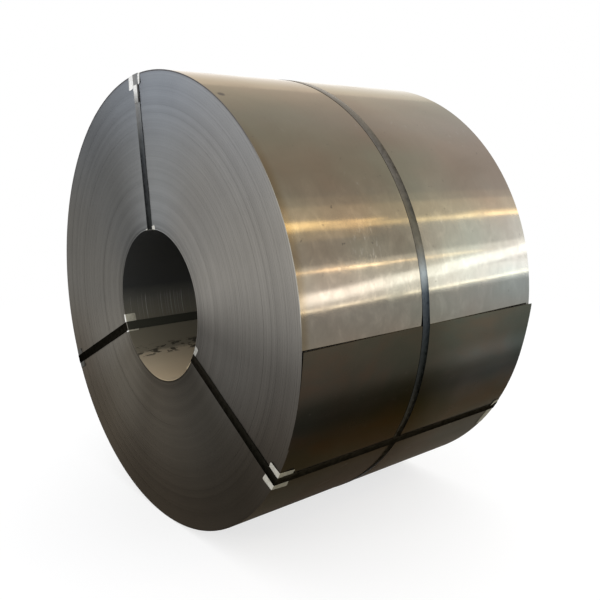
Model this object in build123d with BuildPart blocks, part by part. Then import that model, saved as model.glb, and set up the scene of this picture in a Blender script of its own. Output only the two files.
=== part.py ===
from build123d import *
from math import acos, cos, degrees, radians, sin
import os

# Steel coil lying with its eye level. The axis of the bore runs along Y, Z is up, and the
# origin is on that axis at mid width. Millimetres and degrees. An angle round the axis is
# measured from +X towards +Z. The near end is the one at -Y.

# The wound strip
bore_radius = 254.0
coil_width = 1022.0
strip_thickness = 3.0
lap_radius = 756.5  # the lap that the tail lies on

# The tail: the free end of the last lap, held down by the belly strap and sprung up beside it
tail_angle = -0.5  # where the last lap ends
tail_reach = 14.0  # how far before its end the tail starts to lift
near_lift = 4.0
far_lift = 9.5
held_margin = 12.0  # beside the belly strap

# The turns on the ends: flat bands at the rim and round the bore, stepped bands between
rim_band = 56.0
bore_band = 38.0
stepped_bands = 7
band_sway = 1.1  # how far a band stands in or out of its neighbours
band_rhythm = 2.1  # radians from one band to the next
far_end_phase = 1.3

# Straps and the clips that join them
strap_width = 32.0
strap_thickness = 0.8
strap_clearance = 0.1
belly_place = -29.0  # middle of the belly strap along the axis
seal_length = 57.0
seal_plate = 1.0
seal_cheek = 1.2
seal_play = 0.05
belly_seal_angle = 138.0
seal_from_rim = 34.0

# Where the eye straps lie round the axis, and the end that carries each seal
eye_straps = {"top": 96.8, "left": -153.9, "right": -32.2}
seal_end = {"top": -1, "left": 1, "right": 1}

# Angle pieces under the eye straps: on the rim, then on the edge of the bore
rim_plate = 1.0
near_rim_protector_width = 75.0
far_rim_protector_width = 132.0
near_barrel_leg = 54.0
far_barrel_leg = 34.0
rim_face_leg = 44.0
bore_plate = 0.3
bore_protector_width = 64.0
bore_inner_leg = 43.0
bore_face_leg = 16.0
seat_gap = 0.05
bend_cut = 0.75  # of the plate, off the outside of its bend

# Degrees by which some of them have slipped round from their strap
near_rim_slip = {"top": 0.6, "left": 0.0, "right": 0.0}
far_rim_slip = {"top": 0.0, "left": 0.0, "right": -2.6}
bore_slip = {"top": -0.6, "left": -2.5, "right": 3.4}

# Worked out from the above
half_width = coil_width / 2
first_half_radius = lap_radius + strip_thickness / 4
second_half_radius = lap_radius + 3 * strip_thickness / 4


def on_circle(distance, angle):
    """A point of the end view, at a distance and an angle from the axis."""
    return (distance * cos(radians(angle)), distance * sin(radians(angle)))


# The last lap is one turn of a spiral, drawn as two half circles with these centres
first_centre = on_circle(-strip_thickness / 4, tail_angle)
second_centre = on_circle(strip_thickness / 4, tail_angle)


def outer_radius(angle):
    """The coil's radius at an angle."""
    turned = (angle - tail_angle) % 360
    if turned < 180:
        return first_half_radius - strip_thickness / 4 * cos(radians(turned))
    return second_half_radius + strip_thickness / 4 * cos(radians(turned))


def radial_plane(angle):
    """The plane through the axis at an angle: x is outward, y is along the axis."""
    c, s = cos(radians(angle)), sin(radians(angle))
    return Plane(origin=(0, 0, 0), x_dir=(c, 0, s), z_dir=(-s, 0, c))


def across_plane(angle, distance, end):
    """The plane across a strap on one end of the coil: x round the coil, y out of that end."""
    c, s = cos(radians(angle)), sin(radians(angle))
    return Plane(origin=(distance * c, 0, distance * s), x_dir=(end * s, 0, -end * c), z_dir=(c, 0, s))


def end_view(place):
    """The plane across the axis at a place along it, seen from the near end."""
    return Plane.XZ.offset(-place)


# Coil: the inner laps are turned, with stepped bands on both ends
stepped_start = bore_radius + bore_band
stepped_end = lap_radius - rim_band
band_step = (stepped_end - stepped_start) / stepped_bands
tail_root = tail_angle - tail_reach
held_half = strap_width / 2 + held_margin


def turned_band(inner, outer, near_recess, far_recess):
    """Draws the section of the laps between two radii, set in from each end by its recess."""
    with Locations(((inner + outer) / 2, (near_recess - far_recess) / 2)):
        Rectangle(outer - inner, coil_width - near_recess - far_recess)


def band_recess(band, phase):
    """How far a stepped band lies inside the end of the coil."""
    return band_sway * (1 + sin(band * band_rhythm + phase))


def tail_section(place, lift):
    """The tail cut across the axis: an arc that leaves the lap below it and rises by a lift."""
    under_root = Vector(on_circle(lap_radius, tail_root))
    over_root = Vector(second_centre) + Vector(on_circle(second_half_radius, tail_root))
    along_lap = on_circle(1, tail_root + 90)
    under_edge = on_circle(lap_radius + lift, tail_angle)
    over_edge = on_circle(lap_radius + lift + strip_thickness, tail_angle)
    with BuildSketch(end_view(place)) as section:
        with BuildLine():
            TangentArc(under_root, under_edge, tangent=along_lap)
            Line(under_edge, over_edge)
            TangentArc(over_root, over_edge, tangent=along_lap)
            Line(over_root, under_root)
        make_face()
    return section.sketch


with BuildPart() as coil:
    with BuildSketch(radial_plane(0)):
        turned_band(bore_radius, stepped_start, 0, 0)
        for band in range(stepped_bands):
            inner = stepped_start + band * band_step
            turned_band(inner, inner + band_step, band_recess(band, 0), band_recess(band, far_end_phase))
    revolve(axis=Axis.Y)
    # the outer laps, up to where the tail starts to lift
    with BuildSketch(end_view(0)):
        with BuildLine():
            CenterArc(first_centre, first_half_radius, tail_angle, 180)
            last = CenterArc(second_centre, second_half_radius, tail_angle + 180, 180 - tail_reach)
            under = CenterArc((0, 0), lap_radius, tail_root, tail_reach)
            Line(last @ 1, under @ 0)
        make_face()
        Circle(stepped_end, mode=Mode.SUBTRACT)
    extrude(amount=half_width, both=True)
    # the tail: flat under the belly strap, and lofted to its lifted corners on both sides
    held_near = tail_section(belly_place - held_half, 0)
    held_far = tail_section(belly_place + held_half, 0)
    loft([tail_section(-half_width, near_lift), held_near])
    loft([held_near, held_far])
    loft([held_far, tail_section(half_width, far_lift)])


def belly_line(gap):
    """Draws the line round the barrel at a gap from it, straight where it drops off the tail."""
    first = first_half_radius + gap
    second = second_half_radius + gap
    corner = strip_thickness / 4 + second
    leave = degrees(acos(first / (corner + strip_thickness / 4)))
    landed = CenterArc(first_centre, first, tail_angle + leave, 180 - leave)
    around = CenterArc(second_centre, second, tail_angle + 180, 180)
    Line(around @ 1, landed @ 0)


with BuildPart() as belly_strap:
    with BuildSketch(end_view(belly_place)):
        with BuildLine():
            belly_line(strap_clearance + strap_thickness)
        make_face()
        with BuildLine():
            belly_line(strap_clearance)
        make_face(mode=Mode.SUBTRACT)
    extrude(amount=strap_width / 2, both=True)


def highest_under(angle, width):
    """The coil's largest radius under a piece of a width that is centred on an angle."""
    half_span = degrees(width / 2 / lap_radius)
    return max(outer_radius(angle + side * half_span) for side in (-1, 0, 1))


belly_seal_seat = highest_under(belly_seal_angle, seal_length) + strap_clearance + strap_thickness + seal_play
belly_seal_span = degrees(seal_length / belly_seal_seat)
cheek_offset = strap_width / 2 + seal_play + seal_cheek / 2

# The belly strap's seal: a plate over the strap with two cheeks
with BuildPart() as belly_seal:
    with BuildSketch(radial_plane(belly_seal_angle + belly_seal_span / 2)):
        with Locations((belly_seal_seat + seal_plate / 2, belly_place)):
            Rectangle(seal_plate, 2 * cheek_offset + seal_cheek)
        with Locations(
            (belly_seal_seat - strap_thickness / 2, belly_place - cheek_offset),
            (belly_seal_seat - strap_thickness / 2, belly_place + cheek_offset),
        ):
            Rectangle(strap_thickness, seal_cheek)
    revolve(axis=Axis.Y, revolution_arc=belly_seal_span)


def sweep_for(width, radius):
    """An angle that is wider than a width at a radius."""
    return 1.5 * degrees(width / radius)


def wrapped(section, angle, sweep, width):
    """Turns a section round the axis, centred on an angle, and trims it to a width."""
    with BuildPart() as piece:
        revolve(section.sketch, axis=Axis.Y, revolution_arc=sweep)
        with BuildSketch(radial_plane(angle)):
            with Locations((coil_width, 0)):
                Rectangle(2 * coil_width, 2 * coil_width)
        extrude(amount=width / 2, both=True, mode=Mode.INTERSECT)
    return piece.part


def rim_seat(angle):
    """The radius at which a strap's rim protectors clear the coil, slipped or not."""
    return seat_gap + highest_under(angle, 2 * far_rim_protector_width)


def rim_protector(angle, slip, end, width, barrel_leg):
    """An angle piece over the outer edge: one leg on the barrel, one on the end."""
    seat = rim_seat(angle)
    sweep = sweep_for(width, lap_radius)
    with BuildSketch(radial_plane(angle + slip + sweep / 2)) as section:
        with BuildLine():
            Polyline(
                (seat, end * (half_width - barrel_leg)),
                (seat + rim_plate, end * (half_width - barrel_leg)),
                (seat + rim_plate, end * (half_width + rim_plate)),
                (seat - rim_face_leg, end * (half_width + rim_plate)),
                (seat - rim_face_leg, end * half_width),
                (seat, end * half_width),
                close=True,
            )
        make_face()
        corner = section.vertices().sort_by_distance((seat + coil_width, end * coil_width))[0]
        chamfer(corner, bend_cut * rim_plate)
    return wrapped(section, angle + slip, sweep, width)


def bore_protector(angle, end):
    """A thinner angle piece over the edge of the bore."""
    seat = bore_radius - seat_gap
    sweep = sweep_for(bore_protector_width, bore_radius)
    with BuildSketch(radial_plane(angle + sweep / 2)) as section:
        with BuildLine():
            Polyline(
                (seat, end * (half_width - bore_inner_leg)),
                (seat - bore_plate, end * (half_width - bore_inner_leg)),
                (seat - bore_plate, end * (half_width + bore_plate)),
                (seat + bore_face_leg, end * (half_width + bore_plate)),
                (seat + bore_face_leg, end * half_width),
                (seat, end * half_width),
                close=True,
            )
        make_face()
        corner = section.vertices().sort_by_distance((seat - coil_width, end * coil_width))[0]
        chamfer(corner, bend_cut * bore_plate)
    return wrapped(section, angle, sweep, bore_protector_width)


def strap_line(angle, gap):
    """Draws an eye strap's loop in its radial plane, at a gap from its inner side."""
    outer = rim_seat(angle) + rim_plate + seat_gap + gap
    inner = bore_radius - 2 * seat_gap - bore_plate - gap
    outer_end = half_width + rim_plate + 2 * seat_gap + gap
    inner_end = half_width + bore_plate + seat_gap + gap
    rim_bend = rim_plate + seat_gap + gap
    bore_bend = bore_plate + seat_gap + gap
    FilletPolyline(
        (outer, -outer_end),
        (outer, outer_end),
        (inner, inner_end),
        (inner, -inner_end),
        radius=[rim_bend, rim_bend, bore_bend, bore_bend],
        close=True,
    )


def eye_strap(angle):
    """A closed band: along the barrel, down one end, through the bore and up the other end."""
    sweep = sweep_for(strap_width, bore_radius)
    with BuildSketch(radial_plane(angle + sweep / 2)) as section:
        with BuildLine():
            strap_line(angle, strap_thickness)
        make_face()
        with BuildLine():
            strap_line(angle, 0)
        make_face(mode=Mode.SUBTRACT)
    return wrapped(section, angle, sweep, strap_width)


def eye_seal(angle, end):
    """The clip round an eye strap on one end: a plate over the strap with two cheeks."""
    outer_edge = rim_seat(angle) - seal_from_rim
    strap_top = half_width + rim_plate + 2 * seat_gap + strap_thickness + seal_play
    with BuildPart() as seal:
        with BuildSketch(across_plane(angle, outer_edge - seal_length, end)):
            with Locations((0, strap_top + seal_plate / 2)):
                Rectangle(2 * cheek_offset + seal_cheek, seal_plate)
            with Locations(
                (-cheek_offset, strap_top - strap_thickness / 2),
                (cheek_offset, strap_top - strap_thickness / 2),
            ):
                Rectangle(seal_cheek, strap_thickness)
        extrude(amount=seal_length)
    return seal.part


pieces = {"coil": coil.part, "belly_strap": belly_strap.part, "belly_seal": belly_seal.part}
for place, angle in eye_straps.items():
    pieces[f"eye_strap_{place}"] = eye_strap(angle)
    pieces[f"eye_seal_{place}"] = eye_seal(angle, seal_end[place])
    pieces[f"rim_protector_near_{place}"] = rim_protector(
        angle, near_rim_slip[place], -1, near_rim_protector_width, near_barrel_leg
    )
    pieces[f"rim_protector_far_{place}"] = rim_protector(
        angle, far_rim_slip[place], 1, far_rim_protector_width, far_barrel_leg
    )
    pieces[f"bore_protector_near_{place}"] = bore_protector(angle + bore_slip[place], -1)
    pieces[f"bore_protector_far_{place}"] = bore_protector(angle + bore_slip[place], 1)

os.makedirs("parts", exist_ok=True)
for name, piece in pieces.items():
    piece.label = name
    export_step(piece, f"parts/{name}.step")
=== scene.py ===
import math
import random

import bpy
from mathutils import Matrix, Vector, noise


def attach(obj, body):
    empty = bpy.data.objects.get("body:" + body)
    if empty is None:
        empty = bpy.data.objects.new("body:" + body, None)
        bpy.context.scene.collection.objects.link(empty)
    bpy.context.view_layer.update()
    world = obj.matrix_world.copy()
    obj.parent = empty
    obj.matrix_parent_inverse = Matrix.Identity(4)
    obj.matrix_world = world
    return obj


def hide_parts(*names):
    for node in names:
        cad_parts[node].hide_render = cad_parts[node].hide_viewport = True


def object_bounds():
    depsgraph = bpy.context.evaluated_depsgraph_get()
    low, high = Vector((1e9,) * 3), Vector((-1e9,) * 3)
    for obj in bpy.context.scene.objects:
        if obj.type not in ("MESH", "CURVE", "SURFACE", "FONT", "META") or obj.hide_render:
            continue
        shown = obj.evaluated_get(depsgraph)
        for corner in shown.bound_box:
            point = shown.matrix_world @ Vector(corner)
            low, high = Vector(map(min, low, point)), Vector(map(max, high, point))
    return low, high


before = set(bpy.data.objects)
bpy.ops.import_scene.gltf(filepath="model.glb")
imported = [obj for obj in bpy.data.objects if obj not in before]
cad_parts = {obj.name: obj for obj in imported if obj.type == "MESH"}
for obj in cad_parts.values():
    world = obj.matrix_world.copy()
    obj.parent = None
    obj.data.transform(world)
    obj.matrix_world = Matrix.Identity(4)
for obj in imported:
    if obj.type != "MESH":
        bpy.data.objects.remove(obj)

cad_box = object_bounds()

# The camera: eye height beside the coil, turned to its right end corner as in the photograph.
camera_data = bpy.data.cameras.new("camera")
camera_data.sensor_width = 36.0
camera_data.lens = 43.384
camera = bpy.data.objects.new("camera", camera_data)
camera.location = (2.13484, -1.66598, 0.47590)
camera.rotation_euler = (math.radians(79.102), 0.0, math.radians(50.199))
bpy.context.scene.collection.objects.link(camera)
bpy.context.scene.camera = camera


# The wound roll: one strip of 3 mm steel, wound 166 times on a mandrel. Its bare edges show on
# both ends as turns, each a little in or out of its neighbours, and its first turn lines the bore.
BORE_RADIUS = 0.254
HALF_WIDTH = 0.511
LAP_RADIUS = 0.7565
STRIP = 0.003
TAIL_ANGLE = -0.5
HEAD_ANGLE = -45.0
WHOLE_TURNS = 166
TURN_STEPS = 120
LINING_STEPS = 126
TURN_PLAY = 0.00008
HEAD_PLAY = 0.0001
EDGE_SCATTER = 0.00012
STEPPED_BANDS = 7
BAND_DEPTH = 0.00024
BORE_BAND = 0.038
RIM_BAND = 0.056


class Finish:
    """A material's node tree, with short calls for the nodes that the finishes are made of."""

    def __init__(self, name):
        self.material = bpy.data.materials.new(name)
        self.material.use_nodes = True
        self.tree = self.material.node_tree
        self.shader = self.tree.nodes["Principled BSDF"]

    def feed(self, socket, value):
        if isinstance(value, bpy.types.NodeSocket):
            self.tree.links.new(value, socket)
        else:
            socket.default_value = value

    def set(self, **values):
        for name, value in values.items():
            self.feed(self.shader.inputs[name.replace("_", " ")], value)

    def node(self, kind, **settings):
        made = self.tree.nodes.new(kind)
        for name, value in settings.items():
            setattr(made, name, value)
        return made

    def calc(self, operation, *terms):
        made = self.node("ShaderNodeMath", operation=operation)
        for socket, term in zip(made.inputs, terms):
            self.feed(socket, term)
        return made.outputs[0]

    def product(self, *terms):
        made = terms[0]
        for term in terms[1:]:
            made = self.calc("MULTIPLY", made, term)
        return made

    def length(self, one, other):
        return self.calc("SQRT", self.calc("ADD", self.product(one, one), self.product(other, other)))

    def place(self, kind="Object"):
        return self.node("ShaderNodeTexCoord").outputs[kind]

    def parts(self, vector):
        made = self.node("ShaderNodeSeparateXYZ")
        self.feed(made.inputs[0], vector)
        return made.outputs

    def joined(self, x, y, z=0.0):
        made = self.node("ShaderNodeCombineXYZ")
        for socket, value in zip(made.inputs, (x, y, z)):
            self.feed(socket, value)
        return made.outputs[0]

    def distance(self, vector, spot):
        made = self.node("ShaderNodeVectorMath", operation="DISTANCE")
        self.feed(made.inputs[0], vector)
        made.inputs[1].default_value = spot
        return made.outputs["Value"]

    def stretched(self, vector, scale, turn=0.0):
        made = self.node("ShaderNodeMapping")
        made.inputs["Rotation"].default_value = (0.0, 0.0, turn)
        self.feed(made.inputs["Vector"], vector)
        made.inputs["Scale"].default_value = scale
        return made.outputs[0]

    def noise(self, place, scale, detail=3.0, roughness=0.5, distortion=0.0, dimensions="3D"):
        made = self.node("ShaderNodeTexNoise", noise_dimensions=dimensions)
        self.feed(made.inputs["W" if dimensions == "1D" else "Vector"], place)
        made.inputs["Scale"].default_value = scale
        made.inputs["Detail"].default_value = detail
        made.inputs["Roughness"].default_value = roughness
        made.inputs["Distortion"].default_value = distortion
        return made.outputs["Fac"]

    def line_noise(self, along, scale, detail, roughness=0.5):
        return self.noise(along, scale, detail, roughness, dimensions="1D")

    def ramp(self, factor, stops, interpolation="LINEAR"):
        made = self.node("ShaderNodeValToRGB")
        self.feed(made.inputs[0], factor)
        elements = made.color_ramp.elements
        made.color_ramp.interpolation = interpolation
        while len(elements) < len(stops):
            elements.new(0.5)
        for element, (position, colour) in zip(elements, stops):
            element.position = position
            value = colour if isinstance(colour, tuple) else (colour,) * 3
            element.color = (*value, 1.0)
        return made.outputs[0]

    def span(self, value, low, high, to_low=0.0, to_high=1.0):
        made = self.node("ShaderNodeMapRange", interpolation_type="SMOOTHSTEP")
        for name, term in zip(
            ("Value", "From Min", "From Max", "To Min", "To Max"),
            (value, low, high, to_low, to_high),
        ):
            self.feed(made.inputs[name], term)
        return made.outputs[0]

    def blend(self, factor, first, second, kind="MIX"):
        made = self.node("ShaderNodeMix", data_type="RGBA", blend_type=kind)
        self.feed(made.inputs[0], factor)
        for socket, value in ((made.inputs[6], first), (made.inputs[7], second)):
            self.feed(socket, (*value, 1.0) if isinstance(value, tuple) else value)
        return made.outputs[2]

    def tinted(self, factor, colour, tint):
        return self.blend(factor, colour, tint, "MULTIPLY")

    def bump(self, height, strength, distance, normal=None):
        made = self.node("ShaderNodeBump")
        made.inputs["Strength"].default_value = strength
        made.inputs["Distance"].default_value = distance
        self.feed(made.inputs["Height"], height)
        if normal is not None:
            self.feed(made.inputs["Normal"], normal)
        return made.outputs[0]


def strip_edge_finish():
    """The slit edges of the turns: grey steel, palest on the right and on top, brown and dark below, in
    painted light and shade.
    """
    steel = Finish("strip_edges")
    x, y, z = steel.parts(steel.place())
    radius = steel.length(x, z)
    # 0 on the left, 0.25 at the bottom, 0.5 on the right, 0.75 at the top
    round_it = steel.calc("MULTIPLY_ADD", steel.calc("ARCTAN2", z, x), 0.5 / math.pi, 0.5)
    # the tone round the end is painted light and shade: painted reflections make it palest on the right and
    # on top, painted shade makes it dark below
    colour = steel.ramp(
        round_it,
        [
            (0.0, (0.172, 0.164, 0.148)),
            (0.055, (0.190, 0.178, 0.156)),
            (0.13, (0.135, 0.121, 0.098)),
            (0.22, (0.082, 0.071, 0.056)),
            (0.37, (0.052, 0.047, 0.039)),
            (0.47, (0.105, 0.099, 0.090)),
            (0.55, (0.265, 0.252, 0.230)),
            (0.64, (0.240, 0.232, 0.218)),
            (0.74, (0.250, 0.256, 0.258)),
            (0.86, (0.134, 0.134, 0.130)),
            (1.0, (0.172, 0.164, 0.148)),
        ],
        "EASE",
    )
    # painted light: paler and bluer high on the outer part, where the end catches the sky; painted shade:
    # darker and browner low down
    outer = steel.span(radius, 0.40, 0.72)
    upper = steel.span(z, 0.25, 0.72)
    colour = steel.tinted(steel.product(outer, upper), colour, (1.16, 1.22, 1.34))
    lower = steel.product(steel.span(z, 0.05, -0.35), outer)
    colour = steel.tinted(lower, colour, (0.62, 0.57, 0.52))
    # single turns and groups of turns differ a little in tone
    turn = steel.line_noise(radius, 330.0, 1.0)
    group = steel.line_noise(radius, 40.0, 2.0)
    colour = steel.tinted(0.5, colour, steel.ramp(turn, [(0.25, 0.82), (0.75, 1.18)]))
    colour = steel.tinted(0.4, colour, steel.ramp(group, [(0.3, 0.86), (0.7, 1.12)]))
    # a few dark turns in the outer third, clearest on the right, and round the bore a painted highlight on
    # its edge and a dished ring of painted shade
    lines = steel.ramp(
        steel.calc("MULTIPLY_ADD", radius, 2.0, -0.5),
        [
            (0.0, 1.5),
            (0.011, 1.35),
            (0.016, 0.70),
            (0.026, 0.78),
            (0.032, 0.95),
            (0.044, 0.74),
            (0.090, 1.0),
            (0.752, 1.0),
            (0.755, 0.62),
            (0.758, 1.0),
            (0.803, 1.0),
            (0.805, 0.72),
            (0.807, 1.0),
            (0.876, 1.0),
            (0.878, 0.78),
            (0.880, 1.0),
            (1.0, 1.10),
        ],
    )
    on_right = steel.span(x, -0.20, 0.20, 0.30, 0.85)
    clear = steel.calc("MAXIMUM", on_right, steel.span(radius, 0.30, 0.28, 0.0, 0.85))
    colour = steel.tinted(clear, colour, lines)
    # a painted highlight along the lip of the bore at the bottom, over a turn darkened as painted shade
    low = steel.span(z, -0.12, -0.20)
    lip = steel.product(steel.span(radius, 0.2578, 0.2562), low, steel.span(x, -0.10, 0.0))
    under = steel.product(steel.span(radius, 0.2576, 0.2582), steel.span(radius, 0.2640, 0.2610))
    colour = steel.tinted(steel.product(under, low), colour, (0.62, 0.58, 0.54))
    colour = steel.blend(lip, colour, (0.60, 0.50, 0.33))
    # a dark seam runs round the top of the rim, and on the right the outermost turns carry a painted
    # highlight
    seam = steel.product(steel.span(radius, 0.7520, 0.7535), steel.span(z, 0.22, 0.42))
    colour = steel.tinted(seam, colour, (0.50, 0.46, 0.44))
    rim_highlight = steel.product(steel.span(x, 0.50, 0.66, 0.0, 0.5), steel.span(z, 0.02, 0.09))
    rim = steel.product(steel.span(radius, 0.7515, 0.7545), rim_highlight)
    colour = steel.blend(rim, colour, (0.66, 0.64, 0.58))
    smear = steel.noise(steel.place(), 4.0, 4.0, 0.6)
    colour = steel.tinted(0.4, colour, steel.ramp(smear, [(0.3, 0.86), (0.7, 1.12)]))
    steel.set(
        Base_Color=colour,
        Metallic=1.0,
        Specular_Tint=(0.5, 0.5, 0.5, 1.0),
        Roughness=steel.ramp(turn, [(0.2, 0.40), (0.8, 0.52)]),
        Normal=steel.bump(steel.line_noise(radius, 900.0, 2.0, 0.7), 0.25, 0.0005),
    )
    return steel.material


def bore_finish():
    """The inside of the first turn: dark oily steel, dusty along the bottom, scored by the mandrel."""
    steel = Finish("bore_wall")
    x, y, z = steel.parts(steel.place())
    # degrees up the side from the bottom
    height = steel.calc("ARCTAN2", steel.calc("ABSOLUTE", x), steel.product(z, -1.0))
    height = steel.product(height, 180.0 / math.pi)
    ragged = steel.noise(steel.stretched(steel.place(), (1.0, 0.45, 1.0)), 26.0, 4.0, 0.7)
    edge = steel.calc("MULTIPLY_ADD", ragged, 5.0, height)
    colour = steel.ramp(
        steel.calc("DIVIDE", edge, 180.0),
        [
            (0.0, (0.56, 0.44, 0.29)),
            (0.13, (0.47, 0.38, 0.26)),
            (0.215, (0.36, 0.30, 0.21)),
            (0.232, (0.16, 0.14, 0.10)),
            (0.36, (0.130, 0.118, 0.086)),
            (0.44, (0.110, 0.104, 0.082)),
            (0.48, (0.088, 0.085, 0.072)),
            (0.545, (0.031, 0.032, 0.031)),
            (1.0, (0.026, 0.027, 0.027)),
        ],
    )
    # a ragged row of dark scuffs where the dust ends
    blots = steel.noise(steel.stretched(steel.place(), (1.0, 0.34, 1.0)), 84.0, 3.0, 0.55, 0.2)
    row = steel.product(steel.span(height, 33.0, 35.0), steel.span(height, 46.0, 43.0))
    row = steel.product(row, steel.span(blots, 0.51, 0.58))
    colour = steel.blend(steel.product(row, 0.9), colour, (0.030, 0.026, 0.018))
    # bright scores round the bore at half height, in groups
    scores = steel.line_noise(y, 210.0, 3.0, 0.7)
    groups = steel.span(steel.line_noise(y, 11.0, 1.0), 0.38, 0.62, 0.15, 1.0)
    mark = steel.product(
        steel.span(scores, 0.56, 0.74), steel.span(height, 64.0, 74.0), steel.span(height, 91.0, 84.0), groups
    )
    colour = steel.blend(steel.product(mark, 0.7), colour, (0.55, 0.55, 0.52))
    steel.set(
        Base_Color=colour,
        Metallic=0.15,
        Roughness=0.55,
        Specular_IOR_Level=0.3,
        Normal=steel.bump(scores, 0.12, 0.0004),
    )
    return steel.material


def band_recess(turn, phase):
    """How far the band of turns that a turn belongs to stands in from the end of the coil."""
    radius = BORE_RADIUS + turn * STRIP
    first, last = BORE_RADIUS + BORE_BAND, LAP_RADIUS - RIM_BAND
    if not first <= radius < last:
        return 0.0
    band = int((radius - first) / (last - first) * STEPPED_BANDS)
    return BAND_DEPTH * (1 + math.sin(band * 2.1 + phase))


def wound_roll():
    """Winds the strip: four corners of its section for each step, joined to the next step's."""
    turns = WHOLE_TURNS + (TAIL_ANGLE - HEAD_ANGLE) / 360
    pitch = (LAP_RADIUS - STRIP - BORE_RADIUS) / turns
    steps = round(turns * TURN_STEPS)
    random.seed(4)
    own = [[abs(random.gauss(0, EDGE_SCATTER)) for _ in range(WHOLE_TURNS + 3)] for _ in range(2)]
    recess = [
        [band_recess(turn, phase) + own[end][turn] for turn in range(WHOLE_TURNS + 3)]
        for end, phase in ((0, 0.0), (1, 1.3))
    ]
    points, faces, kinds = [], [], []
    for step in range(steps + 1):
        wound = turns * step / steps
        turn, part = int(wound), wound % 1
        angle = math.radians(HEAD_ANGLE + 360 * wound)
        # the first turn starts round and climbs over its own start
        climb = wound**4 if wound < 1 else wound
        inner = BORE_RADIUS + pitch * climb + HEAD_PLAY * max(0.0, 1 - wound)
        outer = inner + STRIP - TURN_PLAY
        near = -HALF_WIDTH + recess[0][turn] * (1 - part) + recess[0][turn + 1] * part
        far = HALF_WIDTH - recess[1][turn] * (1 - part) - recess[1][turn + 1] * part
        for radius, along in ((inner, near), (outer, near), (outer, far), (inner, far)):
            points.append((radius * math.cos(angle), along, radius * math.sin(angle)))
    for step in range(steps):
        a, b = 4 * step, 4 * step + 4
        for side in range(4):
            after = (side + 1) % 4
            faces.append((a + side, a + after, b + after, b + side))
            kinds.append(1 if side == 3 and step < LINING_STEPS else 0)
    faces += [(3, 2, 1, 0), tuple(4 * steps + corner for corner in range(4))]
    kinds += [0, 0]
    mesh = bpy.data.meshes.new("coil_roll")
    mesh.from_pydata(points, [], faces)
    mesh.materials.append(strip_edge_finish())
    mesh.materials.append(bore_finish())
    mesh.polygons.foreach_set("material_index", kinds)
    roll = bpy.data.objects.new("coil_roll", mesh)
    bpy.context.scene.collection.objects.link(roll)
    return roll


def only(piece):
    """Selects one object and makes it the active one."""
    bpy.ops.object.select_all(action="DESELECT")
    piece.select_set(True)
    bpy.context.view_layer.objects.active = piece


def face_outwards(piece, smooth=30.0):
    """Turns the faces outwards and shades the piece smooth up to an angle in degrees."""
    only(piece)
    bpy.ops.object.mode_set(mode="EDIT")
    bpy.ops.mesh.select_all(action="SELECT")
    bpy.ops.mesh.normals_make_consistent(inside=False)
    bpy.ops.object.mode_set(mode="OBJECT")
    bpy.ops.object.shade_smooth_by_angle(angle=math.radians(smooth))


roll = wound_roll()
face_outwards(roll)
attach(roll, "root")
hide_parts("coil")


# The outer turn: the last lap of the same strip, which ends in the tail. The belly strap holds the
# tail down in the middle, and its corners have sprung up on both sides.
TAIL_REACH = 14.0
NEAR_LIFT = 0.006
FAR_LIFT = 0.0095
BELLY_PLACE = -0.029
HELD_HALF = 0.028
WRAP_STEPS = 340
WRAP_ROWS = 36
WRAP_PLAY = 0.00015
RIPPLE = 0.00018
SLIT_EDGES_END = 338
LAP_LENGTH = 4.76
KNOCK = (0.811, 0.021, 0.0)
RUBBED_PATCH = (0.262, 0.27, 0.0)


def lap_inner(turned):
    """The inner radius of the outer turn, when it has turned some degrees from its start."""
    return LAP_RADIUS - STRIP + STRIP * turned / 360


def tail_lift(turned, along):
    """How far the tail stands off the turn below it."""
    sprung = max(0.0, (turned - (360 - TAIL_REACH)) / TAIL_REACH)
    if along < BELLY_PLACE:
        reach = (BELLY_PLACE - HELD_HALF - along) / (HALF_WIDTH + BELLY_PLACE - HELD_HALF)
        corner = NEAR_LIFT
    else:
        reach = (along - BELLY_PLACE - HELD_HALF) / (HALF_WIDTH - BELLY_PLACE - HELD_HALF)
        corner = FAR_LIFT
    return corner * sprung**2 * max(0.0, reach) ** 1.3


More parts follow.
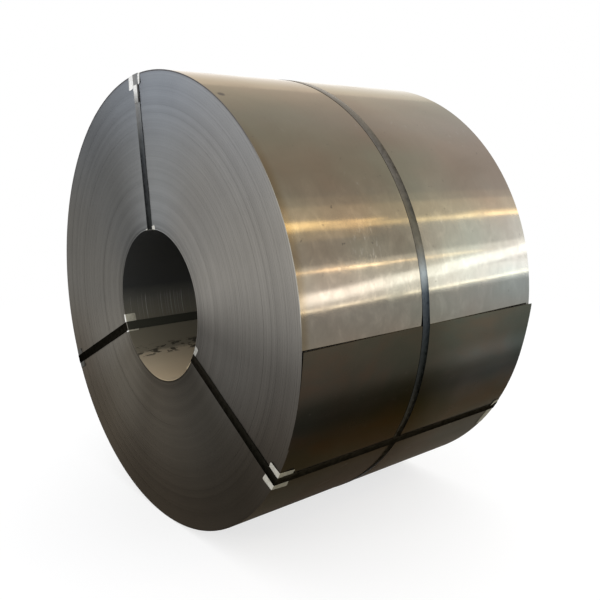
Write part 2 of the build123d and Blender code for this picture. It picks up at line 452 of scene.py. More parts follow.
def steel_skin_finish():
    """Bare rolled steel with an oily brown film, scuffed, with painted light high up and painted shade that
    makes it much darker low down and on the tail.
    """
    steel = Finish("steel_skin")
    turned, across, _ = steel.parts(steel.place("UV"))
    # metres along the strip and across it
    sheet = steel.joined(steel.product(turned, LAP_LENGTH), steel.product(across, 2 * HALF_WIDTH))
    # the tone round the barrel from the tail's edge is painted light and shade: pale where it catches the
    # lamps and the sky on top, dark low down and on the tail
    colour = steel.ramp(
        turned,
        [
            (0.0, (0.175, 0.160, 0.135)),
            (0.015, (0.207, 0.198, 0.176)),
            (0.03, (0.226, 0.212, 0.186)),
            (0.05, (0.235, 0.216, 0.174)),
            (0.10, (0.182, 0.152, 0.113)),
            (0.16, (0.185, 0.150, 0.109)),
            (0.22, (0.260, 0.225, 0.175)),
            (0.50, (0.150, 0.130, 0.100)),
            (0.66, (0.080, 0.066, 0.045)),
            (0.80, (0.078, 0.058, 0.038)),
            (0.890, (0.044, 0.036, 0.027)),
            (0.925, (0.030, 0.025, 0.020)),
            (0.952, (0.0145, 0.0135, 0.0125)),
            (0.963, (0.0175, 0.016, 0.0135)),
            (0.974, (0.036, 0.033, 0.027)),
            (1.0, (0.050, 0.047, 0.036)),
        ],
    )
    # painted light: cooler and paler past the belly strap, where the far half of the barrel catches more
    # light
    side_tones = [(0.0, 0.94), (0.45, 0.97), (0.60, (1.17, 1.21, 1.27)), (1.0, (1.24, 1.32, 1.52))]
    colour = steel.tinted(1.0, colour, steel.ramp(across, side_tones))
    # painted light and shade on top: warm near the rim and darker on the far half
    on_top = steel.product(steel.span(turned, 0.145, 0.175), steel.span(turned, 0.30, 0.23))
    top_tones = [(0.0, (1.28, 1.18, 1.12)), (0.5, (1.10, 1.05, 1.0)), (1.0, (0.88, 0.85, 0.82))]
    colour = steel.tinted(on_top, colour, steel.ramp(across, top_tones))
    # painted light: low down the far half is paler, and it has a painted sheen just under the edge of the
    # tail
    far_half = steel.span(across, 0.42, 0.75)
    far_tail = steel.product(far_half, steel.span(turned, 0.78, 0.86))
    colour = steel.tinted(far_tail, colour, (1.42, 1.40, 1.42))
    far_sheen = steel.product(steel.span(turned, 0.925, 0.950), steel.span(turned, 0.985, 0.968))
    colour = steel.tinted(steel.product(far_half, far_sheen), colour, (1.55, 1.60, 1.70))
    # browner and darker along the near rim above the tail's edge: partly a brown fringe on the steel, partly
    # painted shade by the rim
    fringe = steel.product(steel.span(across, 0.034, 0.004), steel.span(turned, 0.16, 0.09))
    colour = steel.tinted(fringe, colour, (0.84, 0.76, 0.64))
    # the film of oil, wide stains in it, and those of the tail
    film = steel.noise(steel.stretched(sheet, (1.6, 1.0, 1.0)), 3.0, 5.0, 0.55, 0.4)
    film_tones = steel.ramp(film, [(0.25, (0.80, 0.77, 0.72)), (0.75, (1.16, 1.14, 1.12))])
    colour = steel.tinted(0.6, colour, film_tones)
    stain = steel.noise(steel.stretched(sheet, (1.0, 0.7, 1.0)), 2.2, 3.0, 0.5)
    stain_tones = steel.ramp(stain, [(0.38, (1.07, 0.97, 0.91)), (0.60, (0.96, 1.03, 0.98))])
    colour = steel.tinted(1.0, colour, stain_tones)
    tail_stain = steel.noise(steel.stretched(sheet, (1.6, 0.8, 1.0)), 3.4, 3.0, 0.55, 0.5)
    on_tail = steel.span(turned, 0.90, 0.94)
    tail_tones = steel.ramp(tail_stain, [(0.36, (1.18, 0.98, 0.92)), (0.50, 1.0), (0.64, (0.84, 0.92, 0.92))])
    colour = steel.tinted(on_tail, colour, tail_tones)
    # clouds and streaks above the tail, fainter on the far half
    cloud = steel.noise(steel.stretched(sheet, (1.0, 1.3, 1.0)), 16.0, 5.0, 0.6, 0.5)
    cloudy = steel.product(steel.span(turned, 0.12, 0.055), 0.8)
    cloudy = steel.product(cloudy, steel.calc("MULTIPLY_ADD", far_half, -0.5, 1.0))
    colour = steel.tinted(cloudy, colour, steel.ramp(cloud, [(0.34, 0.87), (0.52, 0.99), (0.68, 1.20)]))
    streak = steel.noise(steel.stretched(sheet, (0.10, 1.0, 1.0)), 70.0, 3.0, 0.6)
    streaky = steel.product(steel.span(turned, 0.065, 0.045, 0.0, 0.6), steel.span(cloud, 0.45, 0.62))
    streaky = steel.product(streaky, steel.calc("MULTIPLY_ADD", far_half, -0.7, 1.0))
    colour = steel.tinted(streaky, colour, steel.ramp(streak, [(0.36, 0.93), (0.66, 1.09)]))
    rolled = steel.noise(steel.stretched(sheet, (1.0, 60.0, 1.0)), 6.0, 4.0, 0.6)
    colour = steel.tinted(0.16, colour, steel.ramp(rolled, [(0.3, 0.82), (0.7, 1.14)]))
    # small dark spots, and one knock on the near rim, high up
    scuff = steel.noise(steel.stretched(sheet, (1.0, 0.8, 1.0)), 44.0, 3.0, 0.6, 0.1)
    spots = steel.span(scuff, 0.675, 0.75)
    colour = steel.blend(steel.product(spots, 0.55), colour, (0.050, 0.044, 0.036))
    knock = steel.distance(steel.stretched(sheet, (1.0, 0.8, 1.0)), KNOCK)
    knock = steel.calc("ADD", knock, steel.product(scuff, 0.008))
    colour = steel.blend(steel.span(knock, 0.0175, 0.0105, 0.0, 0.88), colour, (0.038, 0.024, 0.018))
    # short pale scratches, which lean, and a patch of them where something has rubbed against the front
    fleck = steel.noise(steel.stretched(sheet, (0.8, 1.9, 1.0), -0.75), 46.0, 2.0, 0.5)
    groups = steel.span(steel.noise(sheet, 5.0, 1.0), 0.55, 0.64)
    flecks = steel.product(steel.span(fleck, 0.62, 0.74), groups, steel.span(turned, 0.60, 0.30, 0.0, 0.7))
    rubbed = steel.span(steel.distance(sheet, RUBBED_PATCH), 0.085, 0.035)
    flecks = steel.calc("MAXIMUM", flecks, steel.product(rubbed, steel.span(fleck, 0.54, 0.70)))
    colour = steel.blend(steel.product(flecks, 0.30), colour, (0.36, 0.34, 0.30))
    # the film is duller in patches and along the tail, and the sheet is a little wavy
    patch = steel.noise(steel.stretched(sheet, (1.3, 1.0, 1.0)), 9.0, 5.0, 0.62, 0.6)
    rough = steel.ramp(patch, [(0.32, 0.070), (0.55, 0.105), (0.72, 0.18)])
    rough = steel.calc("MAXIMUM", rough, steel.product(flecks, 0.18))
    rough = steel.calc("ADD", rough, steel.span(turned, 0.80, 0.90, 0.0, 0.12))
    waves = steel.noise(steel.stretched(sheet, (1.0, 0.35, 1.0)), 5.0, 2.0, 0.5)
    grain = steel.noise(steel.stretched(sheet, (1.0, 45.0, 1.0)), 18.0, 3.0, 0.7)
    normal = steel.bump(waves, 0.12, 0.003)
    normal = steel.bump(grain, 0.05, 0.0004, normal)
    normal = steel.bump(patch, 0.06, 0.0010, normal)
    # painted shade on the reflections: the grazing reflection is toned down and warmed on top, and damped low
    # down and on the tail
    edge_tint = steel.ramp(
        turned,
        [
            (0.14, 1.0),
            (0.19, (0.84, 0.79, 0.70)),
            (0.30, (0.84, 0.79, 0.70)),
            (0.56, 0.6),
            (0.90, (0.46, 0.43, 0.38)),
            (0.96, (0.48, 0.46, 0.42)),
        ],
    )
    # the oil is thick along the bottom, and hides the steel there
    bare = steel.ramp(turned, [(0.56, 1.0), (0.70, 0.06), (0.895, 0.06), (0.945, 1.0)])
    steel.set(
        Base_Color=colour,
        Metallic=bare,
        Roughness=rough,
        Normal=normal,
        Specular_Tint=edge_tint,
        Specular_IOR_Level=0.0,
    )
    return steel.material


def outer_turn():
    """Rolls a grid round the roll, adds the lift of the tail, and gives it the strip's thickness."""
    bpy.ops.object.select_all(action="DESELECT")
    bpy.ops.mesh.primitive_grid_add(x_subdivisions=WRAP_STEPS, y_subdivisions=WRAP_ROWS, size=1.0)
    wrap = bpy.context.object
    wrap.name = wrap.data.name = "coil_outer_turn"
    for loop in wrap.data.loops:
        flat = wrap.data.vertices[loop.vertex_index].co
        wrap.data.uv_layers[0].data[loop.index].uv = (flat.x + 0.5, flat.y + 0.5)
    for vertex in wrap.data.vertices:
        turned = 360 * (vertex.co.x + 0.5)
        along = 2 * HALF_WIDTH * vertex.co.y
        angle = math.radians(TAIL_ANGLE + turned)
        ripple = RIPPLE * noise.noise(Vector((turned / 14, along * 6, 3.0)))
        radius = lap_inner(turned) + WRAP_PLAY + ripple * min(1.0, turned / 4) + tail_lift(turned, along)
        vertex.co = (radius * math.cos(angle), along, radius * math.sin(angle))
    only(wrap)
    wrap.modifiers.new("thickness", "SOLIDIFY").thickness = STRIP - WRAP_PLAY
    wrap.modifiers["thickness"].offset = -1.0
    bpy.ops.object.modifier_apply(modifier="thickness")
    wrap.data.materials.clear()
    wrap.data.materials.append(steel_skin_finish())
    wrap.data.materials.append(roll.data.materials[0])
    for face in wrap.data.polygons:
        turned = (math.degrees(math.atan2(face.center.z, face.center.x)) - TAIL_ANGLE) % 360
        face.material_index = 1 if abs(face.normal.y) > 0.9 and turned < SLIT_EDGES_END else 0
    return wrap


wrap = outer_turn()
face_outwards(wrap, 25.0)
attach(wrap, "root")
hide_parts("coil")


# The belly strap: one band of dark painted steel strapping, 32 mm wide and 0.8 mm thick, drawn
# tight round the barrel over the tail, where it runs straight down from the tail's edge.
STRAP_WIDTH = 0.032
STRAP_THICKNESS = 0.0008
STRAP_EDGE = 0.00015
STRAP_GAP = 0.00012
BELLY_STEPS = 288
BELLY_WANDER = 0.0008
DROP_ANGLE = 5.06


def strap_finish(name, tones, roughness, low_lift=1.0):
    """Dark satin paint, its tones by height painted light and shade, with a pale line where it bends into the
    bore low down.

    Along the barrel a lift above 1 raises and browns the tones low down, and high up takes their painted
    light off.
    """
    paint = Finish(name)
    spot = paint.place()
    x, y, z = paint.parts(spot)
    off_middle = paint.calc("ABSOLUTE", y)
    wear = paint.noise(spot, 70.0, 5.0, 0.65)
    height = paint.calc("MULTIPLY_ADD", z, 0.6, 0.5)
    # the tones by height are painted light and shade: paler where the strap faces the sky on top, a painted
    # highlight where it catches the lamps, dark low down
    colour = paint.ramp(height, tones)
    if low_lift > 1.0:
        along_barrel = paint.span(off_middle, 0.5125, 0.5095)
        low = paint.product(along_barrel, paint.span(z, 0.0, -0.25))
        colour = paint.tinted(low, colour, (low_lift, 0.94 * low_lift, 0.86 * low_lift))
        # high up along the barrel the painted light of the tones is taken off
        high = paint.product(along_barrel, paint.span(z, 0.25, 0.60))
        colour = paint.tinted(high, colour, (0.42, 0.42, 0.40))
    colour = paint.tinted(0.7, colour, paint.ramp(wear, [(0.3, 0.7), (0.6, 1.2)]))
    worn = paint.product(paint.span(wear, 0.66, 0.78), 0.25)
    radius = paint.length(x, z)
    bore_edge = paint.product(paint.span(radius, 0.2556, 0.2542), paint.span(off_middle, 0.5100, 0.5112))
    bore_edge = paint.product(bore_edge, paint.span(z, 0.10, -0.05, 0.0, 0.7))
    worn = paint.calc("MAXIMUM", worn, bore_edge)
    in_bore = paint.span(radius, 0.2545, 0.2538)
    colour = paint.blend(in_bore, colour, (0.034, 0.034, 0.026))
    colour = paint.blend(worn, colour, (0.30, 0.28, 0.24))
    # the sheen of the paint shows on top only
    sheen = paint.ramp(height, [(0.78, 0.08), (0.85, (0.75, 0.70, 0.62)), (0.92, (1.0, 0.95, 0.88))])
    paint.set(
        Base_Color=colour,
        Metallic=paint.calc("SUBTRACT", 1.0, in_bore),
        Specular_Tint=sheen,
        Specular_IOR_Level=0.02,
        Roughness=paint.ramp(wear, [(0.3, roughness), (0.8, roughness + 0.2)]),
        Normal=paint.bump(wear, 0.12, 0.0003),
    )
    return paint.material


def choose(piece, kind, test):
    """Selects the vertices or edges of a piece that pass a test, and stays in edit mode."""
    only(piece)
    bpy.ops.object.mode_set(mode="EDIT")
    bpy.ops.mesh.select_mode(type=kind)
    bpy.ops.mesh.select_all(action="DESELECT")
    bpy.ops.object.mode_set(mode="OBJECT")
    points = piece.data.vertices
    for item in points if kind == "VERT" else piece.data.edges:
        ends = [item.co] if kind == "VERT" else [points[end].co for end in item.vertices]
        item.select = test(*ends)
    bpy.ops.object.mode_set(mode="EDIT")


def started(name):
    """Names the primitive that was just added."""
    piece = bpy.context.object
    piece.name = piece.data.name = name
    return piece


def thickened(piece, thickness, edge, outwards):
    """Gives an open sheet its thickness, on the side that outwards gives, and breaks its edges."""
    choose(piece, "VERT", lambda point: True)
    bpy.ops.mesh.normals_make_consistent(inside=False)
    bpy.ops.object.mode_set(mode="OBJECT")
    first = piece.data.polygons[0]
    solid = piece.modifiers.new("thickness", "SOLIDIFY")
    solid.thickness = thickness
    solid.offset = 1.0 if first.normal.dot(outwards(first.center)) > 0 else -1.0
    bpy.ops.object.modifier_apply(modifier="thickness")
    rounded = piece.modifiers.new("edges", "BEVEL")
    rounded.width = edge
    rounded.segments = 2
    rounded.limit_method = "ANGLE"
    rounded.angle_limit = math.radians(55)
    bpy.ops.object.modifier_apply(modifier="edges")


def finished(piece, material, node, smooth=35.0):
    """Gives a piece its finish, and sets it in place of its CAD node."""
    piece.data.materials.clear()
    piece.data.materials.append(material)
    face_outwards(piece, smooth)
    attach(piece, "root")
    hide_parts(node)


def belly_radius(turned):
    """The inner radius of the belly strap, when it has turned some degrees from the tail's edge."""
    lying = LAP_RADIUS + STRIP * turned / 360 + STRAP_GAP
    if turned < DROP_ANGLE:
        return max(lying, (LAP_RADIUS + STRAP_GAP) / math.cos(math.radians(DROP_ANGLE - turned)))
    return lying


bpy.ops.object.select_all(action="DESELECT")
bpy.ops.mesh.primitive_circle_add(vertices=BELLY_STEPS, radius=LAP_RADIUS)
belly_strap = started("belly_band")
for step, vertex in enumerate(belly_strap.data.vertices):
    turned = 360 * step / BELLY_STEPS
    angle = math.radians(TAIL_ANGLE + turned)
    radius = belly_radius(turned)
    wander = BELLY_WANDER * noise.noise(Vector((turned / 40, 0.5, 7.0)))
    edge = BELLY_PLACE - STRAP_WIDTH / 2 + wander
    vertex.co = (radius * math.cos(angle), edge, radius * math.sin(angle))
choose(belly_strap, "VERT", lambda point: True)
bpy.ops.mesh.extrude_region_move(TRANSFORM_OT_translate={"value": (0, STRAP_WIDTH, 0)})
bpy.ops.object.mode_set(mode="OBJECT")
# painted light and shade by height: dark low down, a bluish painted highlight where the lamps reflect, paler
# on top where it catches the sky
belly_tones = [
    (0.20, (0.085, 0.072, 0.052)),
    (0.25, (0.056, 0.049, 0.037)),
    (0.31, (0.050, 0.047, 0.039)),
    (0.38, (0.026, 0.026, 0.024)),
    (0.44, (0.025, 0.027, 0.026)),
    (0.50, (0.031, 0.035, 0.038)),
    (0.555, (0.042, 0.050, 0.058)),
    (0.590, (0.170, 0.190, 0.196)),
    (0.615, (0.108, 0.112, 0.106)),
    (0.64, (0.104, 0.098, 0.080)),
    (0.70, (0.074, 0.073, 0.066)),
    (0.77, (0.135, 0.125, 0.110)),
    (0.95, (0.155, 0.142, 0.126)),
]
thickened(belly_strap, STRAP_THICKNESS, STRAP_EDGE, lambda spot: spot)
finished(belly_strap, strap_finish("belly_paint", belly_tones, 0.26), "belly_strap")


# The eye straps: three closed bands of the same strapping, along the barrel, down the far end,
# back through the bore and up the near end, bent tight round the edge protectors.
EYE_STRAPS = {"top": 96.8, "left": -153.9, "right": -32.2}
RIM_PLATE = 0.001
BORE_PLATE = 0.0003
SEAT_GAP = 0.00005
RIM_SEAT_REACH = 10.0
BEND_RADIUS = 0.0016
EYE_WANDER = 0.0015
MID_RADIUS = 0.505


def rim_seat(angle):
    """The radius that clears the barrel under all of an eye strap's rim protectors."""
    turned = (angle - TAIL_ANGLE) % 360 + RIM_SEAT_REACH
    return LAP_RADIUS + STRIP * turned / 360 + 2 * SEAT_GAP


def stood_up(piece, angle, end=1):
    """Places a piece made flat: its x outward from the axis, y along it to one end, z round it."""
    c, s = math.cos(math.radians(angle)), math.sin(math.radians(angle))
    for vertex in piece.data.vertices:
        out, along, side = vertex.co
        vertex.co = (out * c - side * s, end * along, out * s + side * c)


# painted light and shade by height: dark low down, paler and bluer high up where the strap catches the sky
eye_tones = [
    (0.22, (0.009, 0.008, 0.006)),
    (0.30, (0.014, 0.013, 0.010)),
    (0.40, (0.021, 0.019, 0.015)),
    (0.50, (0.022, 0.020, 0.016)),
    (0.64, (0.026, 0.026, 0.025)),
    (0.68, (0.042, 0.045, 0.045)),
    (0.77, (0.060, 0.063, 0.066)),
    (0.83, (0.080, 0.088, 0.096)),
    (0.90, (0.230, 0.238, 0.245)),
]
strap_paint = strap_finish("strap_paint", eye_tones, 0.42, 2.4)
for place, angle in EYE_STRAPS.items():
    outer = rim_seat(angle) + RIM_PLATE + SEAT_GAP
    inner = BORE_RADIUS - BORE_PLATE - 2 * SEAT_GAP
    outer_end = HALF_WIDTH + RIM_PLATE + 2 * SEAT_GAP
    inner_end = HALF_WIDTH + BORE_PLATE + SEAT_GAP
    bpy.ops.object.select_all(action="DESELECT")
    bpy.ops.mesh.primitive_plane_add(size=1.0)
    band = started(f"eye_band_{place}")
    for vertex in band.data.vertices:
        far = 1 if vertex.co.y > 0 else -1
        vertex.co = (outer, far * outer_end, 0) if vertex.co.x > 0 else (inner, far * inner_end, 0)
    choose(band, "VERT", lambda point: True)
    bpy.ops.mesh.bevel(offset=BEND_RADIUS, segments=5, affect="VERTICES")
    bpy.ops.mesh.select_all(action="SELECT")
    bpy.ops.mesh.delete(type="ONLY_FACE")
    bpy.ops.object.mode_set(mode="OBJECT")
    choose(band, "EDGE", lambda one, other: (one - other).length > 0.1)
    bpy.ops.mesh.subdivide(number_cuts=20)
    bpy.ops.object.mode_set(mode="OBJECT")
    for vertex in band.data.vertices:
        out, along, _ = vertex.co
        bend = min(1.0, (HALF_WIDTH - abs(along)) / 0.1) if abs(along) < HALF_WIDTH - 0.002 else 0.0
        wander = EYE_WANDER * bend * noise.noise(Vector((along * 3, out * 2, angle)))
        vertex.co.z = wander - STRAP_WIDTH / 2
    choose(band, "VERT", lambda point: True)
    bpy.ops.mesh.extrude_region_move(TRANSFORM_OT_translate={"value": (0, 0, STRAP_WIDTH)})
    bpy.ops.object.mode_set(mode="OBJECT")
    thickened(band, STRAP_THICKNESS, STRAP_EDGE, lambda spot: spot - Vector((MID_RADIUS, 0, 0)))
    stood_up(band, angle)
    finished(band, strap_paint, f"eye_strap_{place}")


# The edge protectors: angles folded from galvanised sheet, laid over the rims and the edges of the
# bore. The tight straps hold them down in the middle, and their sides have sprung off the steel.
PROTECTOR_CUTS = 9
HELD_BY_STRAP = 0.019
RIM_FACE_LEG = 0.044


def zinc_finish(name, bright, roughness, grimy, shaded_leg=1.0, metal=1.0, shade=None):
    """Galvanised sheet with a faint spangle, dulled by handling, and darkened on its wall leg as painted
    shade.
    """
    zinc = Finish(name)
    spot = zinc.place()
    spangle = zinc.node("ShaderNodeTexVoronoi")
    zinc.feed(spangle.inputs["Vector"], spot)
    spangle.inputs["Scale"].default_value = 160.0
    cell = zinc.parts(spangle.outputs["Color"])[0]
    low = tuple(bright * share for share in (0.84, 0.84, 0.80))
    high = tuple(min(0.97, bright * share) for share in (1.08, 1.08, 1.04))
    colour = zinc.ramp(cell, [(0.0, low), (1.0, high)])
    grime = zinc.noise(spot, 55.0, 5.0, 0.6)
    film = zinc.ramp(grime, [(0.3, (0.74, 0.69, 0.58)), (0.62, (1.0, 0.97, 0.90))])
    colour = zinc.tinted(grimy, colour, film)
    if shade is not None:
        colour = zinc.tinted(1.0, colour, zinc.ramp(shade(zinc, spot), [(0.0, 0.0), (1.0, 1.0)]))
    # painted shade on the wall leg, which faces down
    if shaded_leg < 1.0:
        on_wall = zinc.span(zinc.calc("ABSOLUTE", zinc.parts(spot)[1]), 0.5115, 0.5095)
        colour = zinc.tinted(on_wall, colour, (shaded_leg, 0.96 * shaded_leg, 0.80 * shaded_leg))
    zinc.set(
        Base_Color=colour,
        Metallic=metal,
        Specular_Tint=(0.6, 0.6, 0.6, 1.0),
        Roughness=zinc.ramp(cell, [(0.0, roughness - 0.06), (1.0, roughness + 0.08)]),
        Normal=zinc.bump(grime, 0.15, 0.0005),
    )
    return zinc.material


def folded_angle(name, width, wall_leg, face_leg, plate, bend, spring, cut, leg_share):
    """Folds a sheet: y along the axis, x round the coil, z off the steel, for the near end.

    One leg lies on the wall from the edge inwards, and the other lies on the end of the coil.
    """
    bpy.ops.object.select_all(action="DESELECT")
    bpy.ops.mesh.primitive_plane_add(size=1.0)
    sheet = started(name)
    start = -HALF_WIDTH
    for vertex in sheet.data.vertices:
        vertex.co.x *= width
        vertex.co.y = start + wall_leg if vertex.co.y > 0 else start + bend
    choose(sheet, "EDGE", lambda one, other: max(one.y, other.y) < start + bend + 1e-5)
    bpy.ops.mesh.spin(
        steps=4,
        angle=math.radians(-90),
        center=(0, start + bend, -bend),
        axis=(1, 0, 0),
        use_auto_merge=False,
    )
    bpy.ops.mesh.extrude_region_move(TRANSFORM_OT_translate={"value": (0, 0, bend - face_leg)})
    bpy.ops.object.mode_set(mode="OBJECT")
    choose(sheet, "EDGE", lambda one, other: abs(one.x - other.x) > 0.5 * width)
    bpy.ops.mesh.subdivide(number_cuts=PROTECTOR_CUTS)
    bpy.ops.object.mode_set(mode="OBJECT")

    def corner(point):
        at_leg_end = point.y > start + 0.9 * wall_leg or point.z < -0.9 * face_leg
        return abs(point.x) > 0.499 * width and at_leg_end

    choose(sheet, "VERT", corner)
    bpy.ops.mesh.bevel(offset=cut, segments=2, affect="VERTICES")
    bpy.ops.object.mode_set(mode="OBJECT")
    for vertex in sheet.data.vertices:
        side, along, up = vertex.co
        free = max(0.0, (abs(side) - HELD_BY_STRAP) / (0.5 * width - HELD_BY_STRAP)) ** 1.5
        on_wall = max(0.0, (along - start - bend) / wall_leg)
        on_face = max(0.0, (-up - bend) / face_leg)
        vertex.co.z = up + spring * free * on_wall
        vertex.co.y = along - spring * free * on_face
        if up < -bend:
            vertex.co.z = -bend + (up + bend) * leg_share(side / width + 0.5)
    thickened(sheet, plate, 0.2 * plate, lambda spot: Vector((0, -1, 0) if spot.z < -bend else (0, -0.1, 1)))
    return sheet


def laid_round(sheet, seat, way, angle, end):
    """Lays a folded sheet on the rim (way 1) or in the bore (way -1), at an angle on one end."""
    c, s = math.cos(math.radians(angle)), math.sin(math.radians(angle))
    for vertex in sheet.data.vertices:
        side, along, up = vertex.co
        out = math.sqrt((seat + way * up) ** 2 - side**2)
        vertex.co = (out * c - side * s, -end * along, out * s + side * c)


def slanted(right_side, left_side):
    """A face leg that runs from one share of its length at its right side to another at its left."""
    return lambda share: right_side + (left_side - right_side) * share


# the near angles are toned partly as painted light and shade: the top one lit white, the low left one dark,
# the right one between
rim_zinc = {
    ("near", "top"): zinc_finish("protector_zinc_clean_lit", 0.97, 0.30, 0.0),
    ("near", "left"): zinc_finish("protector_zinc_grimy_shaded", 0.10, 0.45, 0.6),
    ("near", "right"): zinc_finish("protector_zinc_dull_shaded", 0.50, 0.40, 0.9, shaded_leg=0.52),
}
for place, angle in EYE_STRAPS.items():
    for end_name, end, width, leg, slip in (
        ("near", -1, 0.075, 0.054, {"top": 0.6}),
        ("far", 1, 0.132, 0.034, {"right": -2.6}),
    ):
        name = f"rim_angle_{end_name}_{place}"
        slant = slanted(0.76, 1.02) if (end_name, place) == ("near", "top") else slanted(1.0, 1.0)
        guard = folded_angle(
            name, width, leg, RIM_FACE_LEG, RIM_PLATE, bend=0.0016, spring=0.003, cut=0.005, leg_share=slant
        )
        laid_round(guard, rim_seat(angle), 1, angle + slip.get(place, 0.0), end)
        zinc = rim_zinc.get((end_name, place), rim_zinc["near", "right"])
        finished(guard, zinc, f"rim_protector_{end_name}_{place}")


# Under the same straps, thinner angles lie over the edges of the bore, most of them slipped round
# or bent flat on one side, so that their legs on the end of the coil are cut to a slant.
BORE_SLIP = {"top": -0.6, "left": -2.5, "right": 3.4}
BORE_ANGLE_WIDTH = 0.064
BORE_WALL_LEG = 0.040
BORE_FACE_LEG = 0.016

bore_legs = {"top": slanted(0.9, 0.05), "left": slanted(0.25, 0.9), "right": slanted(0.3, 1.3)}
# their tones are set partly as painted light and shade: the left one pale though the bore round it is dark,
# the right one dark
bore_zinc = {
    "top": zinc_finish("bore_zinc_bright", 0.66, 0.40, 0.4, metal=0.5),
    "left": zinc_finish("bore_zinc_clean_lit", 0.92, 0.45, 0.2, shaded_leg=0.56, metal=0.2),
    "right": zinc_finish("bore_zinc_dull_shaded", 0.34, 0.42, 0.5, metal=0.5),
}
for place, angle in EYE_STRAPS.items():
    for end_name, end in (("near", -1), ("far", 1)):
        name = f"bore_angle_{end_name}_{place}"
        guard = folded_angle(
            name, BORE_ANGLE_WIDTH, BORE_WALL_LEG, BORE_FACE_LEG, BORE_PLATE,
            bend=0.0012, spring=0.0006, cut=0.003, leg_share=bore_legs[place],
        )
        laid_round(guard, BORE_RADIUS - SEAT_GAP, -1, angle + BORE_SLIP[place], end)
        finished(guard, bore_zinc[place], f"bore_protector_{end_name}_{place}")


# The seals: galvanised sleeves pressed round each overlap of a strap, with two pairs of crimps
# in their sides. One is on each eye strap, and one is on the belly strap at the back.
SEAL_LENGTH = 0.057
SEAL_PLATE = 0.0008
SEAL_EDGE = 0.0002
SEAL_HALF = 0.0161
SEAL_CROWN = 0.0003
CRIMPS = (-0.0145, 0.0145)
CRIMP_HALF = 0.0045
CRIMP_DEPTH = 0.0011
SEAL_FROM_RIM = 0.034
BELLY_SEAL_ANGLE = 138.0
BELLY_SEAL_REACH = 3.0


def seal_sleeve(name):
    """A sleeve lying flat: x along the strap, y across it, z up from the strap's own top."""
    bpy.ops.object.select_all(action="DESELECT")
    bpy.ops.mesh.primitive_grid_add(x_subdivisions=24, y_subdivisions=8, size=1.0)
    sleeve = started(name)
    for vertex in sleeve.data.vertices:
        vertex.co.x *= SEAL_LENGTH
        vertex.co.y *= 2 * SEAL_HALF
    choose(sleeve, "EDGE", lambda one, other: min(abs(one.y), abs(other.y)) > 0.999 * SEAL_HALF)
    bpy.ops.mesh.extrude_region_move(TRANSFORM_OT_translate={"value": (0, 0, -STRAP_THICKNESS - SEAT_GAP)})
    bpy.ops.object.mode_set(mode="OBJECT")
    for vertex in sleeve.data.vertices:
        along, side, up = vertex.co
        pinch = max(max(0.0, 1 - ((along - crimp) / CRIMP_HALF) ** 2) for crimp in CRIMPS)
        near_side = max(0.0, (abs(side) - 0.55 * SEAL_HALF) / (0.45 * SEAL_HALF))
        vertex.co.z = up + CRIMP_DEPTH * pinch * near_side + SEAL_CROWN * (1 - (side / SEAL_HALF) ** 2)
        vertex.co.y = side * (1 - 0.05 * pinch * near_side)
    thickened(sleeve, SEAL_PLATE, SEAL_EDGE, lambda spot: Vector((0, spot.y, 0.005)))
    return sleeve


seal_zinc = zinc_finish("seal_zinc", 0.55, 0.34, 0.5)


def down_and_right(zinc, spot):
    """Painted shade: greyer towards the lower end of the seal at the top, and along its right side."""
    x, _, z = zinc.parts(spot)
    angle = math.radians(EYE_STRAPS["top"])
    side = zinc.calc("ADD", zinc.product(x, -math.sin(angle)), zinc.product(z, math.cos(angle)))
    return zinc.product(zinc.span(z, 0.660, 0.712, 0.34, 1.0), zinc.span(side, -0.0115, -0.0065, 0.12, 1.0))


# the seal at the top is clean, and made white partly as painted light, with painted shade down it and along
# its right side
seal_bright = zinc_finish("seal_zinc_clean_lit", 0.97, 0.28, 0.0, shade=down_and_right)
for place, angle in EYE_STRAPS.items():
    end = -1 if place == "top" else 1
    sleeve = seal_sleeve(f"eye_clip_{place}")
    middle = rim_seat(angle) - SEAL_FROM_RIM - SEAL_LENGTH / 2
    top = HALF_WIDTH + RIM_PLATE + STRAP_THICKNESS + 3 * SEAT_GAP
    for vertex in sleeve.data.vertices:
        along, side, up = vertex.co
        vertex.co = (middle + along, top + up, side)
    stood_up(sleeve, angle, end)
    finished(sleeve, seal_bright if place == "top" else seal_zinc, f"eye_seal_{place}")

sleeve = seal_sleeve("belly_clip")
seat = belly_radius(BELLY_SEAL_ANGLE - TAIL_ANGLE + BELLY_SEAL_REACH) + STRAP_THICKNESS + SEAT_GAP
for vertex in sleeve.data.vertices:
    along, side, up = vertex.co
    angle = math.radians(BELLY_SEAL_ANGLE) + along / seat
    vertex.co = ((seat + up) * math.cos(angle), BELLY_PLACE + side, (seat + up) * math.sin(angle))
finished(sleeve, seal_zinc, "belly_seal")


# The studio: a pale floor under the coil, a white surround, and long soft lights beside it.
def lit_white(tree, plain, white):
    """Shows a white surface to the camera and to reflections, and the plain one to soft light."""
    rays = tree.nodes.new("ShaderNodeLightPath")
    seen = rays.outputs["Is Camera Ray"]
    for kind in ("Is Glossy Ray", "Is Transmission Ray"):
        either = tree.nodes.new("ShaderNodeMath")
        either.operation = "MAXIMUM"
        tree.links.new(seen, either.inputs[0])
        tree.links.new(rays.outputs[kind], either.inputs[1])
        seen = either.outputs[0]
    shown = tree.nodes.new("ShaderNodeMixShader")
    tree.links.new(seen, shown.inputs[0])
    tree.links.new(plain, shown.inputs[1])
    tree.links.new(white, shown.inputs[2])
    return shown.outputs[0]


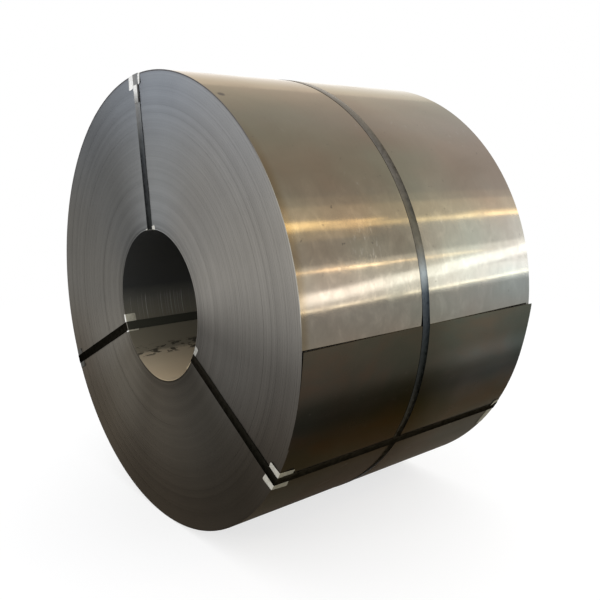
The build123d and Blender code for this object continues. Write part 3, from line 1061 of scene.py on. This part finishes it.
world = bpy.data.worlds.new("studio")
bpy.context.scene.world = world
world.use_nodes = True
soft = world.node_tree.nodes["Background"]
soft.inputs[0].default_value = (0.97, 0.98, 1.0, 1.0)
soft.inputs[1].default_value = 1.0
white = world.node_tree.nodes.new("ShaderNodeBackground")
white.inputs[0].default_value = (1.0, 1.0, 1.0, 1.0)
white.inputs[1].default_value = 1.0
world.node_tree.links.new(
    lit_white(world.node_tree, soft.outputs[0], white.outputs[0]),
    world.node_tree.nodes["World Output"].inputs["Surface"],
)

bpy.ops.object.select_all(action="DESELECT")
bpy.ops.mesh.primitive_plane_add(size=60.0, location=(0, 0, cad_box[0].z - 0.001))
floor = bpy.context.object
floor.name = "studio_floor"
floor_finish = Finish("studio_floor")
floor_tree = floor_finish.tree
floor_finish.set(Base_Color=(0.75, 0.75, 0.74, 1.0), Roughness=0.9)
# near the coil the floor takes its shadow, and further off it runs into the white surround
x, y, _ = floor_finish.parts(floor_finish.place())
far_off = floor_finish.span(floor_finish.length(x, y), 1.6, 4.5)
glow = floor_tree.nodes.new("ShaderNodeEmission")
floor_finish.feed(glow.inputs[1], floor_finish.calc("MULTIPLY_ADD", far_off, 0.30, 0.70))
matt = floor_tree.nodes.new("ShaderNodeBsdfDiffuse")
floor_finish.feed(matt.inputs[0], floor_finish.ramp(far_off, [(0.0, 0.36), (1.0, 0.0)]))
pale = floor_tree.nodes.new("ShaderNodeAddShader")
floor_tree.links.new(glow.outputs[0], pale.inputs[0])
floor_tree.links.new(matt.outputs[0], pale.inputs[1])
floor_tree.links.new(
    lit_white(floor_tree, floor_finish.shader.outputs[0], pale.outputs[0]),
    floor_tree.nodes["Material Output"].inputs["Surface"],
)
floor.data.materials.append(floor_finish.material)


def placing(x_axis, y_axis, z_axis, origin):
    """The placing matrix with these axes and origin."""
    rows = [(x_axis[row], y_axis[row], z_axis[row], origin[row]) for row in range(3)]
    return Matrix(rows + [(0, 0, 0, 1)])


def soft_light(name, start, end, across, glow, colour):
    """A long light from one point to another, which faces the coil's axis."""
    start, end = Vector(start), Vector(end)
    centre = (start + end) / 2
    data = bpy.data.lights.new(name, "AREA")
    data.shape = "RECTANGLE"
    data.size = (end - start).length
    data.size_y = across
    data.energy = glow * math.pi * data.size * across
    data.color = colour
    light = bpy.data.objects.new(name, data)
    length = (end - start).normalized()
    aim = Vector((0, centre.y if abs(length.y) > 0.5 else 0, 0)) - centre
    aim = (aim - length * aim.dot(length)).normalized()
    light.matrix_world = placing(length, (-aim).cross(length), -aim, centre)
    light.visible_camera = False
    bpy.context.scene.collection.objects.link(light)


GOLD = (1.0, 0.76, 0.36)
WARM = (1.0, 0.99, 0.95)
soft_light("gold_edge", (3.5, 1.4, 2.62), (3.5, 8.0, 2.72), 0.15, 1.8, GOLD)
soft_light("gold_core", (3.46, 1.4, 2.76), (3.46, 2.15, 2.76), 0.25, 3.9, GOLD)
soft_light("gold_middle", (3.46, 2.15, 2.79), (3.46, 2.85, 2.79), 0.19, 3.4, GOLD)
soft_light("gold_end", (3.46, 2.85, 2.82), (3.46, 3.7, 2.82), 0.12, 2.6, GOLD)
soft_light("gold_far", (3.46, 5.0, 2.72), (3.46, 8.0, 2.72), 0.26, 1.2, GOLD)
soft_light("gold_haze", (3.5, 1.0, 3.2), (3.5, 8.0, 3.2), 0.9, 0.38, (1.0, 0.8, 0.5))
soft_light("gold_mist", (3.5, 1.0, 3.6), (3.5, 8.0, 3.6), 1.2, 0.16, (1.0, 0.8, 0.5))
soft_light("orange_line", (3.4, 1.6, 1.06), (3.4, 4.0, 1.06), 0.045, 3.4, (1.0, 0.74, 0.42))
soft_light("orange_spot", (3.42, 2.05, 1.06), (3.42, 2.75, 1.06), 0.06, 4.5, (1.0, 0.80, 0.55))
soft_light("window", (3.5, 0.8, 0.57), (3.5, 8.0, 0.87), 1.18, 0.82, WARM)
soft_light("low_line", (3.45, 1.0, 0.01), (3.45, 6.4, 0.24), 0.06, 3.6, (1.0, 0.91, 0.70))
soft_light("gold_glow", (3.5, 1.2, 2.34), (3.5, 3.3, 2.40), 0.42, 0.34, GOLD)
soft_light("far_sky", (3.55, 5.1, 1.80), (3.55, 8.0, 1.80), 1.2, 0.30, (0.88, 0.95, 1.0))
soft_light("low_window", (3.51, 0.8, 0.22), (3.51, 8.0, 0.52), 0.48, 0.7, WARM)
soft_light("far_window", (3.52, 3.4, 1.20), (3.52, 7.6, 1.20), 2.6, 0.52, (0.98, 0.99, 1.0))
soft_light("slant", (3.44, 1.2, 0.20), (3.44, 6.4, 1.30), 0.31, 2.0, (0.95, 0.98, 1.0))
soft_light("slant_near", (3.43, 1.2, 0.24), (3.43, 3.2, 0.62), 0.20, 0.9, (1.0, 1.0, 0.98))
soft_light("back_window", (-4.0, 0.0, 2.4), (-4.0, 7.0, 2.4), 3.2, 0.30, (1.0, 0.95, 0.88))
soft_light("bore_fill", (0.0, -4.0, 1.0), (0.8, -4.0, 1.0), 0.8, 8.0, (1.0, 0.95, 0.85))

bpy.context.scene.view_settings.view_transform = "Standard"
